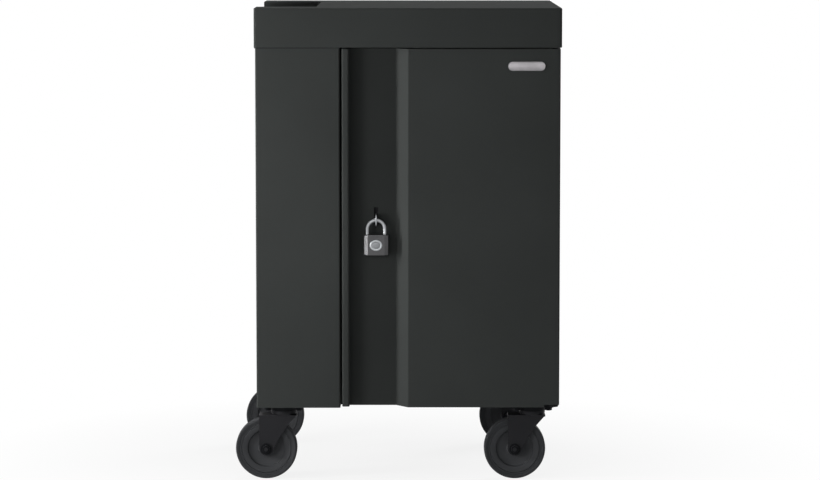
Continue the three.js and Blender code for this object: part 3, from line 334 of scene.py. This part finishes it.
def plated(name, levels, rough, grain=NO_GRAIN, spangle=FINE_SPANGLE):
    """Metal with clouds of tone, a spangle of crystals and streaks along its grain."""
    made, tree, shader = new_material(name)
    shader.inputs["Metallic"].default_value = 1.0
    cloud = noise(tree, scale=35.0, detail=3)
    feed(tree, shader, "Base Color", tones(tree, cloud, colour_of(levels), low=0.85, high=1.1))
    crystals = maths(tree, "MULTIPLY", cells(tree, spangle)["Color"], 0.3)
    streak = noise(tree, scale=700.0, detail=3, stretch=grain)
    uneven = maths(tree, "ADD", crystals, streak)
    roughness = spread(tree, uneven, low=rough - 0.1, high=rough + 0.14, start=0.3, end=1.0)
    feed(tree, shader, "Roughness", roughness)
    feed(tree, shader, "Normal", bump(tree, streak, strength=0.08, depth=0.0001))
    return made


def moulded(name, levels, rough):
    """Moulded plastic with a fine grain."""
    made, tree, shader = new_material(name)
    shader.inputs["Specular IOR Level"].default_value = SOFT_SHEEN
    cloud = noise(tree, scale=12.0, detail=3)
    feed(tree, shader, "Base Color", tones(tree, cloud, colour_of(levels), low=0.9, high=1.12))
    patches = noise(tree, scale=70.0, detail=3)
    feed(tree, shader, "Roughness", spread(tree, patches, low=rough - 0.07, high=rough + 0.08))
    fine = noise(tree, scale=900.0, detail=2)
    feed(tree, shader, "Normal", bump(tree, fine, strength=0.12, depth=0.0002))
    return made


def rubber(name, levels):
    """Dusty rubber with pores."""
    made, tree, shader = new_material(name)
    shader.inputs["Specular IOR Level"].default_value = SOFT_SHEEN
    colour = colour_of(levels)
    dust = noise(tree, scale=55.0, detail=5, distortion=0.6)
    dusty = [(0.35, shade(colour, 0.88)), (0.62, colour), (0.85, shade(colour, 1.5))]
    feed(tree, shader, "Base Color", ramp(tree, dust, dusty))
    feed(tree, shader, "Roughness", spread(tree, dust, low=0.68, high=0.86))
    pores = bump(tree, cells(tree, 900.0)["Distance"], strength=0.1, depth=0.0002)
    waves = noise(tree, scale=240.0, detail=3)
    feed(tree, shader, "Normal", bump(tree, waves, strength=0.1, depth=0.0003, under=pores))
    return made


finishes = {
    "charcoal_paint": powder_coat("charcoal_powder_coat", PAINT, rough=0.88),
    "inner_paint": powder_coat("inner_powder_coat", INNER_PAINT, rough=0.88),
    "zinc_plate": plated("zinc_plating", ZINC, rough=0.4, spangle=COARSE_SPANGLE),
    "black_coat": powder_coat("black_electrocoat", BLACK_COAT, rough=0.4, grain=0.06),
    "bearing_steel": powder_coat("black_oxide", BLACK_OXIDE, rough=0.38, grain=0.05),
    "tyre_rubber": rubber("grey_rubber", TYRE_RUBBER),
    "wheel_plastic": moulded("wheel_plastic", WHEEL_PLASTIC, rough=0.66),
    "black_plastic": moulded("black_plastic", BLACK_PLASTIC, rough=0.5),
    "chrome": plated("polished_chrome", CHROME, rough=0.5, grain=GRAIN_UPRIGHT),
    "lock_steel": plated("satin_lock_steel", LOCK_STEEL, rough=0.32, grain=GRAIN_ACROSS),
    "brass": plated("turned_brass", BRASS, rough=0.3, grain=GRAIN_UPRIGHT),
}
# Finishes for the rounded edges, lighter than their coats: wear and a painted edge highlight
scuffed_and_highlit_edges = {
    "charcoal_paint": scuffed_edge_with_painted_highlight("charcoal_rubbed_edge", PAINT, rough=0.6),
    "inner_paint": scuffed_edge_with_painted_highlight("inner_rubbed_edge", INNER_PAINT, rough=0.6),
    "black_coat": scuffed_edge_with_painted_highlight("black_rubbed_edge", BLACK_COAT, rough=0.36),
}
edge_width = {
    "tyre_rubber": MOULDED_EDGE,
    "wheel_plastic": MOULDED_EDGE,
    "black_plastic": TURNED_EDGE,
    "lock_steel": MOULDED_EDGE,
}


# Solids of the frame: finishes, and edges rounded by modifiers alone
def round_edges(piece, width, angle, edge_highlight_and_wear):
    """Welds the facets, rounds the sharp edges and smooths the shading."""
    piece.data.polygons.foreach_set("use_smooth", [True] * len(piece.data.polygons))
    weld = piece.modifiers.new("weld", "WELD")
    weld.merge_threshold = SOLID_GAP * MM
    flat = piece.modifiers.new("flat faces", "DECIMATE")
    flat.decimate_type = "DISSOLVE"
    flat.angle_limit = math.radians(FLAT_FACETS)
    edges = piece.modifiers.new("edges", "BEVEL")
    edges.width = width * MM
    edges.segments = EDGE_STEPS
    edges.limit_method = "ANGLE"
    edges.angle_limit = math.radians(angle)
    edges.use_clamp_overlap = False
    # The rounded edges take the lighter edge finish: wear and a painted highlight
    if edge_highlight_and_wear:
        edges.material = 1
    normals = piece.modifiers.new("normals", "WEIGHTED_NORMAL")
    normals.keep_sharp = False


axles = [f"caster_axle_{place}" for place in PLACES]
for part in frame["record"]["subparts"]:
    slot = part["material_slot"]
    piece = nodes[part["node"]]
    finish = finishes["bearing_steel" if part["node"] in axles else slot]
    piece.data.materials.clear()
    piece.data.materials.append(finish)
    if slot in scuffed_and_highlit_edges:
        piece.data.materials.append(scuffed_and_highlit_edges[slot])
    angle = FLAT_CHAMFER if slot == "lock_steel" else SHARP_EDGE
    round_edges(piece, edge_width.get(slot, SHEET_EDGE), angle, slot in scuffed_and_highlit_edges)


# New pieces
def add_piece(name, mesh, body, finish):
    piece = bpy.data.objects.new(name, mesh)
    bpy.context.scene.collection.objects.link(piece)
    mesh.materials.append(finish)
    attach(piece, body)
    return piece


def mesh_from(name, build, *values):
    """A mesh with what a builder function puts in it from the given values."""
    mesh = bpy.data.meshes.new(name)
    work = bmesh.new()
    build(work, *values)
    bmesh.ops.remove_doubles(work, verts=work.verts, dist=NEW_PIECE_GAP * MM)
    bmesh.ops.recalc_face_normals(work, faces=work.faces)
    for face in work.faces:
        face.smooth = True
    work.to_mesh(mesh)
    work.free()
    mesh.set_sharp_from_angle(angle=math.radians(SHARP_ON_NEW_PIECES))
    return mesh


def skin(work, rings, endless=False):
    """A closed form from rings of points; gives back the faces of each band, and last the end."""
    made = [[work.verts.new(point) for point in points] for points in rings]
    bands = []
    following = made[1:] + made[:1] if endless else made[1:]
    for lower, upper in zip(made, following):
        count = len(lower)
        sides = [(i, (i + 1) % count) for i in range(count)]
        bands.append([work.faces.new((lower[i], lower[j], upper[j], upper[i])) for i, j in sides])
    if not endless:
        work.faces.new(reversed(made[0]))
        bands.append([work.faces.new(made[-1])])
    return bands


def oval(wide, tall, sides=48):
    step = 2 * math.pi / sides
    return [(wide / 2 * math.cos(i * step), tall / 2 * math.sin(i * step)) for i in range(sides)]


def circle(radius, sides):
    return oval(2 * radius, 2 * radius, sides)


def pill(length, height, sides=12):
    """The outline of a bar with round ends, counter-clockwise."""
    radius = height / 2
    reach = length / 2 - radius
    points = []
    for middle, start in ((reach, -90), (-reach, 90)):
        for i in range(sides + 1):
            angle = math.radians(start + 180 * i / sides)
            points.append((middle + radius * math.cos(angle), radius * math.sin(angle)))
    return points


def on_plane(points, depth, origin, across, up, out):
    """Points of an outline in millimetres laid on a plane of the cart."""
    return [origin + (across * x + up * y + out * depth) * MM for x, y in points]


def stepped_plate(work, outline, length, height, levels, origin):
    """A plate on the cart's front, each of its levels drawn in from the outline."""
    rings = []
    for inset, depth in levels:
        points = outline(length - 2 * inset, height - 2 * inset)
        rings.append(on_plane(points, depth, origin, RIGHT, UP, -BACK))
    return skin(work, rings)


def turned(work, origin, out, profile, sides, endless=False):
    """A turned form: pairs of radius and depth in millimetres along the outward direction."""
    across = BACK.cross(out) if abs(out.z) > 0.5 else UP.cross(out)
    up = out.cross(across)
    rings = []
    for radius, depth in profile:
        rings.append(on_plane(circle(radius, sides), depth, origin, across, up, out))
    skin(work, rings, endless)


def rounded_bar(work, low, high, edge):
    """A bar along Y with its long edges rounded."""
    radius = edge * MM
    left, right = low.x + radius, high.x - radius
    bottom, top = low.z + radius, high.z - radius
    outline = []
    for x, z, start in ((right, bottom, -90), (right, top, 0), (left, top, 90), (left, bottom, 180)):
        for i in range(CORNER_STEPS + 1):
            angle = math.radians(start + 90 * i / CORNER_STEPS)
            outline.append((x + radius * math.cos(angle), z + radius * math.sin(angle)))
    skin(work, [[(x, y, z) for x, z in outline] for y in (low.y, high.y)])


# Badge plate
def badge(work):
    door_low, door_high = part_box("front_door")
    middle = door_high.x - BADGE_FROM_DOOR_EDGE * MM
    origin = Vector((middle, door_low.y, BADGE_ABOVE_FLOOR * MM))
    stepped_plate(work, pill, BADGE_LENGTH, BADGE_HEIGHT, BADGE_LEVELS, origin)


badge_metal = plated("badge_metal", BADGE_METAL, rough=0.34, grain=GRAIN_ACROSS)
add_piece("badge_plate", mesh_from("badge_plate", badge), "front_door", badge_metal)


# Bolts that hold the caster plates to the base
def hex_bolts(work, places, out):
    """Washers with chamfered hexagon heads."""
    corner = BOLT_ACROSS / math.sqrt(3)
    head = [(corner * share, height) for share, height in BOLT_HEAD]
    for place in places:
        turned(work, place, out, WASHER, WASHER_SIDES)
        turned(work, place, out, head, 6)


for place in PLACES:
    low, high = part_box(f"caster_plate_{place}")
    under = high.z - PLATE_SHEET * MM
    inset = BOLT_INSET * MM
    corners = [
        Vector((x, y, under))
        for x in (low.x + inset, high.x - inset)
        for y in (low.y + inset, high.y - inset)
    ]
    name = f"caster_bolts_{place}"
    bolts = mesh_from(name, hex_bolts, corners, -UP)
    add_piece(name, bolts, "cabinet", finishes["bearing_steel"])


# Wheels turned finer than the solids they stand for, and the ends of their axles
def wheel_ring(work, half, middle):
    profile = half + [(radius, -depth) for radius, depth in reversed(half)]
    turned(work, middle, BACK, profile, WHEEL_SIDES, endless=True)


def axle_ends(work, low, high):
    middle = (low + high) / 2
    for y, out in ((low.y, -BACK), (high.y, BACK)):
        turned(work, Vector((middle.x, y, middle.z)), out, AXLE_END, AXLE_SIDES)


for place in PLACES:
    low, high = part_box(f"caster_axle_{place}")
    middle = (low + high) / 2
    wheel_pieces = (
        (f"tyre_{place}", f"wheel_tyre_{place}", TREAD + TYRE_WALL, "tyre_rubber"),
        (f"wheel_{place}_core", f"wheel_core_{place}", CORE_RIM + CORE_WEB + CORE_HUB, "wheel_plastic"),
    )
    for name, node_name, half, slot in wheel_pieces:
        mesh = mesh_from(name, wheel_ring, half, middle)
        piece = add_piece(name, mesh, f"wheel_{place}", finishes[slot])
        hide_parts(node_name)
    name = f"axle_ends_{place}"
    ends = mesh_from(name, axle_ends, low, high)
    add_piece(name, ends, f"swivel_{place}", finishes["black_coat"])


# Dark rubber strip under the rim of the cap, along the front panel and both sides: painted shade for the
# shadowed seam
def seam_shadow_run(work, path):
    """A strip along points on the cabinet's wall, each with its outward direction."""
    skin(work, [[point + (out * x + UP * z) * MM for x, z in SEAM_STRIP_SECTION] for point, out in path])


def cap_seam_shadow_strip(work):
    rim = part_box("top_cap")[0].z
    left_low, left_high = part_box("left_shell")
    right_low, right_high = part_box("right_side_panel")
    door_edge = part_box("front_door")[0].x
    seam_shadow_run(work, [
        (Vector((door_edge - DOOR_SEAM * MM, left_low.y, rim)), -BACK),
        (Vector((left_low.x, left_low.y, rim)), -BACK - RIGHT),
        (Vector((left_low.x, left_high.y, rim)), -RIGHT),
    ])
    seam_shadow_run(work, [(Vector((right_high.x, y, rim)), RIGHT) for y in (right_low.y, right_high.y)])


# The strip's dark colour paints the shadow in the seam under the cap
seam_shadow_strip = rubber("seam_shadow_strip", DARK_SEAM_STRIP)
add_piece("cap_seam_shadow_strip", mesh_from("cap_seam_shadow_strip", cap_seam_shadow_strip), "cabinet", seam_shadow_strip)


# Padlock's shackle and medallion
def shackle_bow(work):
    """A long leg, a half-round bow that starts at the spring's height, and a short leg."""
    low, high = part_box("padlock_shackle")
    middle = (low + high) / 2
    wire = (high.y - low.y) / 2
    reach = (high.x - low.x) / 2 - wire
    spring = high.z - wire - reach
    chamfer = WIRE_CHAMFER * MM
    heel = low.z
    toe = low.z + TOE_SHORTER * MM
    stations = [(math.pi, heel, wire - chamfer), (math.pi, heel + chamfer, wire)]
    stations += [(math.pi * (1 - i / BOW_STEPS), spring, wire) for i in range(BOW_STEPS + 1)]
    stations += [(0, toe + chamfer, wire), (0, toe, wire - chamfer)]
    rings = []
    for angle, height, radius in stations:
        outward = Vector((math.cos(angle), 0, math.sin(angle)))
        centre = Vector((middle.x, middle.y, height)) + outward * reach
        rings.append([centre + outward * x + BACK * y for x, y in circle(radius, WIRE_SIDES)])
    skin(work, rings)


bow_mesh = mesh_from("shackle_bow", shackle_bow)
bow = add_piece("shackle_bow", bow_mesh, "shackle", finishes["chrome"])
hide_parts("padlock_shackle")


def medallion(work):
    """A domed rim round a dished middle with a bare raised oval."""
    low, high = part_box("padlock_body")
    middle = (low + high) / 2
    origin = Vector((middle.x, low.y + MEDALLION_SUNK * MM, middle.z))
    levels = MEDALLION_RIM + MEDALLION_DISH
    bands = stepped_plate(work, oval, MEDALLION_WIDE, MEDALLION_TALL, levels, origin)
    for band in bands[len(MEDALLION_RIM):]:
        for face in band:
            face.material_index = 1


medal_metal = plated("medallion_metal", MEDALLION_METAL, rough=0.34, grain=GRAIN_UPRIGHT)
dish_metal = plated("medallion_dish", MEDALLION_DISH_METAL, rough=0.42, grain=GRAIN_UPRIGHT)
medal_mesh = mesh_from("padlock_medallion", medallion)
add_piece("padlock_medallion", medal_mesh, "padlock", medal_metal)
medal_mesh.materials.append(dish_metal)


# Rim of the rear lock
def lock_rim(work):
    low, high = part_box("rear_lock_barrel")
    face = Vector(((low.x + high.x) / 2, high.y, (low.z + high.z) / 2))
    turned(work, face, BACK, LOCK_RIM, LOCK_RIM_SIDES, endless=True)


rim_mesh = mesh_from("rear_lock_rim", lock_rim)
add_piece("rear_lock_rim", rim_mesh, "rear_door", finishes["chrome"])


# Power inlet: three blades in its mouth and two screws in its flange
def inlet_blades(work, low, high):
    middle = (low + high) / 2
    start = low.y + BLADE_FROM_INNER_END * MM
    corner = Vector((BLADE_WIDE / 2, 0, BLADE_TALL / 2)) * MM
    for x, z in BLADE_PLACES:
        spot = Vector((middle.x + x * MM, start, middle.z + z * MM))
        rounded_bar(work, spot - corner, spot + corner + BACK * BLADE_LONG * MM, BLADE_EDGE)


def inlet_screws(work, low, high):
    """Domed heads with a round socket."""
    middle = (low + high) / 2
    reach = (high.x - low.x) / 2 - SCREW_FROM_END * MM
    for side in (-1, 1):
        place = Vector((middle.x + side * reach, high.y, middle.z))
        turned(work, place, BACK, SCREW_DOME, SCREW_SIDES)


for name, build in (("inlet_blades", inlet_blades), ("inlet_screws", inlet_screws)):
    mesh = mesh_from(name, build, *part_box("power_inlet"))
    add_piece(name, mesh, "cabinet", finishes["zinc_plate"])


# Outlet faces in the recesses of the two strips
def carved(name, solid, cutter):
    """A mesh with another cut out of it."""
    made = [bpy.data.objects.new(name, mesh) for mesh in (solid, cutter)]
    for piece in made:
        bpy.context.scene.collection.objects.link(piece)
    cut = made[0].modifiers.new("cut", "BOOLEAN")
    cut.object = made[1]
    cut.solver = "EXACT"
    graph = bpy.context.evaluated_depsgraph_get()
    mesh = bpy.data.meshes.new_from_object(made[0].evaluated_get(graph))
    mesh.name = name
    for piece in made:
        bpy.data.objects.remove(piece)
    mesh.set_sharp_from_angle(angle=math.radians(SHARP_ON_NEW_PIECES))
    return mesh


def outlet_faces(work, seats):
    corner = Vector((FACE_WIDE / 2, 0, FACE_TALL / 2)) * MM
    for seat in seats:
        rounded_bar(work, seat - corner, seat + corner + BACK * FACE_THICK * MM, FACE_CORNER)


def outlet_slots(work, seats):
    for seat in seats:
        for x, z, wide, tall, edge in FACE_SLOTS:
            spot = seat + Vector((x, 0, z)) * MM
            corner = Vector((wide / 2, 0, tall / 2)) * MM
            low = spot - corner + BACK * SLOT_FLOOR * MM
            high = spot + corner + BACK * SLOT_TOP * MM
            rounded_bar(work, low, high, edge)


for tier in ("lower", "upper"):
    low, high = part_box(f"outlet_strip_{tier}")
    middle = (low + high) / 2
    pitch = (high.x - low.x) / OUTLETS
    first = middle.x - (OUTLETS - 1) / 2 * pitch
    seats = [Vector((first + i * pitch, high.y - FACE_RECESS * MM, middle.z)) for i in range(OUTLETS)]
    name = f"outlet_faces_{tier}"
    mesh = carved(name, mesh_from(name, outlet_faces, seats), mesh_from(name, outlet_slots, seats))
    add_piece(name, mesh, "cabinet", finishes["wheel_plastic"])


# Light, floor and camera
def area_light(name, place, target, size, power, beam=180):
    """A soft lamp of some watts that faces a point; its beam is in degrees."""
    lamp = bpy.data.lights.new(name, "AREA")
    lamp.shape = "RECTANGLE"
    lamp.size, lamp.size_y = size
    lamp.energy = power
    lamp.spread = math.radians(beam)
    holder = bpy.data.objects.new(name, lamp)
    bpy.context.scene.collection.objects.link(holder)
    holder.location = place
    way = Vector(target) - Vector(place)
    holder.rotation_euler = way.to_track_quat("-Z", "Y").to_euler()


area_light("key_left", (-1.98, -2.05, 0.5), target=(0.0, -0.28, 0.4), size=(0.8, 0.8), power=18)
area_light(
    "side_left", (-1.15, -0.57, 0.7), target=(0.03, -0.27, 0.66), size=(0.12, 0.95), power=5.2, beam=95,
)
area_light("fill_front", (-0.4, -1.75, 0.9), target=(0.0, -0.28, 0.2), size=(1.8, 0.2), power=5.2)
area_light("rear_right", (2.4, 2.4, 1.2), target=(0.0, 0.0, 0.5), size=(1.6, 1.6), power=80)
area_light("top_soft", (-0.2, 0.3, 3.0), target=(0.0, 0.1, 0.9), size=(2.0, 2.0), power=26)


def seen_directly(tree):
    """One for camera, mirror and glass rays, nought for the rays that carry light."""
    path = node(tree, "ShaderNodeLightPath").outputs
    either = maths(tree, "MAXIMUM", path["Is Camera Ray"], path["Is Glossy Ray"])
    return maths(tree, "MAXIMUM", either, path["Is Transmission Ray"])


def mixed(tree, share, first, second):
    values = {0: share, 1: first.outputs[0], 2: second.outputs[0]}
    return node(tree, "ShaderNodeMixShader", values).outputs[0]


def studio_world():
    world = bpy.data.worlds.new("studio")
    bpy.context.scene.world = world
    world.use_nodes = True
    tree = world.node_tree
    tree.nodes.clear()
    soft = node(tree, "ShaderNodeBackground", {"Color": SKY_COLOUR, "Strength": SKY_STRENGTH})
    white = node(tree, "ShaderNodeBackground", {"Color": WHITE, "Strength": 1.0})
    node(tree, "ShaderNodeOutputWorld", {"Surface": mixed(tree, seen_directly(tree), soft, white)})


def floor_material():
    made, tree, shader = new_material("pale_floor")
    shader.inputs["Roughness"].default_value = FLOOR_ROUGH
    shader.inputs["Specular IOR Level"].default_value = 0.0
    dark, pale = FLOOR_TONES
    mottle = ramp(tree, noise(tree, scale=3.0, detail=3), [(0.3, [dark] * 3), (0.7, [pale] * 3)])
    feed(tree, shader, "Base Color", mottle)
    place = node(tree, "ShaderNodeTexCoord").outputs["Object"]
    away = node(tree, "ShaderNodeVectorMath", {0: place}, operation="LENGTH").outputs["Value"]
    glow = spread(tree, away, low=GLOW_BY_CART, high=1.0, start=GLOW_STARTS, end=GLOW_FULL)
    share = maths(tree, "MULTIPLY", glow, seen_directly(tree))
    white = node(tree, "ShaderNodeEmission", {"Color": WHITE, "Strength": 1.0})
    feed(tree, tree.nodes["Material Output"], "Surface", mixed(tree, share, shader, white))
    return made


def studio_floor():
    work = bmesh.new()
    bmesh.ops.create_circle(work, cap_ends=True, segments=FLOOR_SIDES, radius=FLOOR_RADIUS)
    mesh = bpy.data.meshes.new("floor")
    work.to_mesh(mesh)
    work.free()
    mesh.materials.append(floor_material())
    floor = bpy.data.objects.new("floor", mesh)
    bpy.context.scene.collection.objects.link(floor)
    floor.location.z = cad_box[0][2]


def photo_camera():
    lens = bpy.data.cameras.new("photo_camera")
    lens.sensor_width = SENSOR
    lens.lens = FOCAL_PIXELS * SENSOR / PHOTO_WIDTH
    lens.clip_end = CAMERA_REACH
    camera = bpy.data.objects.new("photo_camera", lens)
    bpy.context.scene.collection.objects.link(camera)
    camera.location = CAMERA_PLACE
    camera.rotation_euler = (math.pi / 2 - CAMERA_PITCH, 0, 0)
    bpy.context.scene.camera = camera


studio_world()
studio_floor()
photo_camera()
bpy.context.scene.view_settings.view_transform = "Standard"
